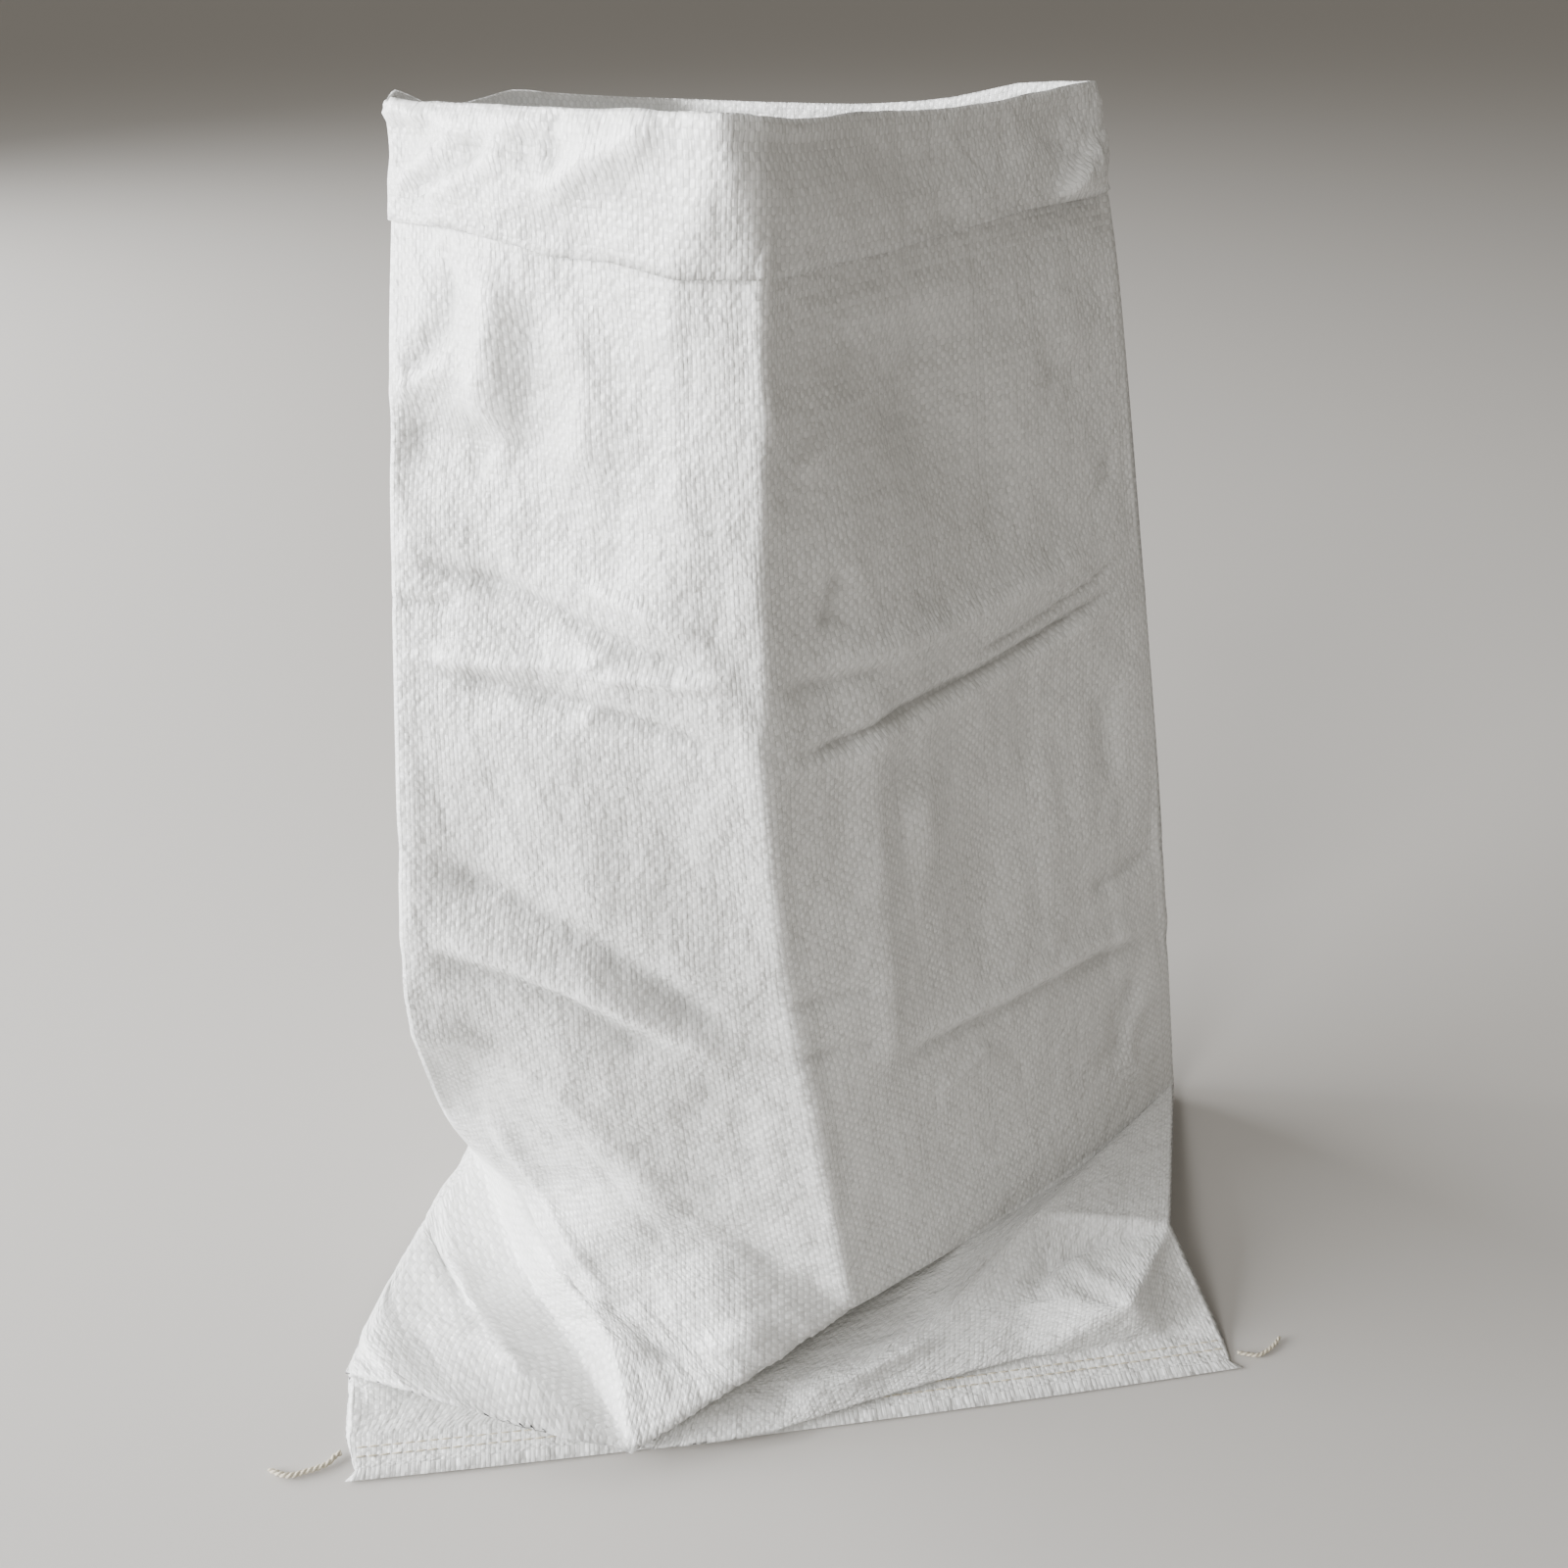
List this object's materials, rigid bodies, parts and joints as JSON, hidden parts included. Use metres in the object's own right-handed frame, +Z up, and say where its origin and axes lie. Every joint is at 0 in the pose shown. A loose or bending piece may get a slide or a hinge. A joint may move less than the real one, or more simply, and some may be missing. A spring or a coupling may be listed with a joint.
{
  "type": "woven sack",
  "caption": "Open-mouth woven plastic sack standing open like a box, its rim rolled out into a cuff and its sewn bottom folded forward on the floor.",
  "frame": {"origin": "on the floor under the middle of the sack's box, measured without the two loose thread tails", "axes": "+Z up, +X along the sewn hem, -Y the side that the hem lies on"},
  "size_m": [0.6413, 0.4957, 0.7055],
  "materials": {
    "woven_cloth": "glossy flat-tape weave",
    "sewing_thread": "dull twisted thread"
  },
  "bodies": {
    "root": {"sack_body": "woven_cloth", "stitch_row_front": "sewing_thread", "stitch_row_back": "sewing_thread", "thread_tail_left": "sewing_thread", "thread_tail_right": "sewing_thread"}
  },
  "joints": []
}
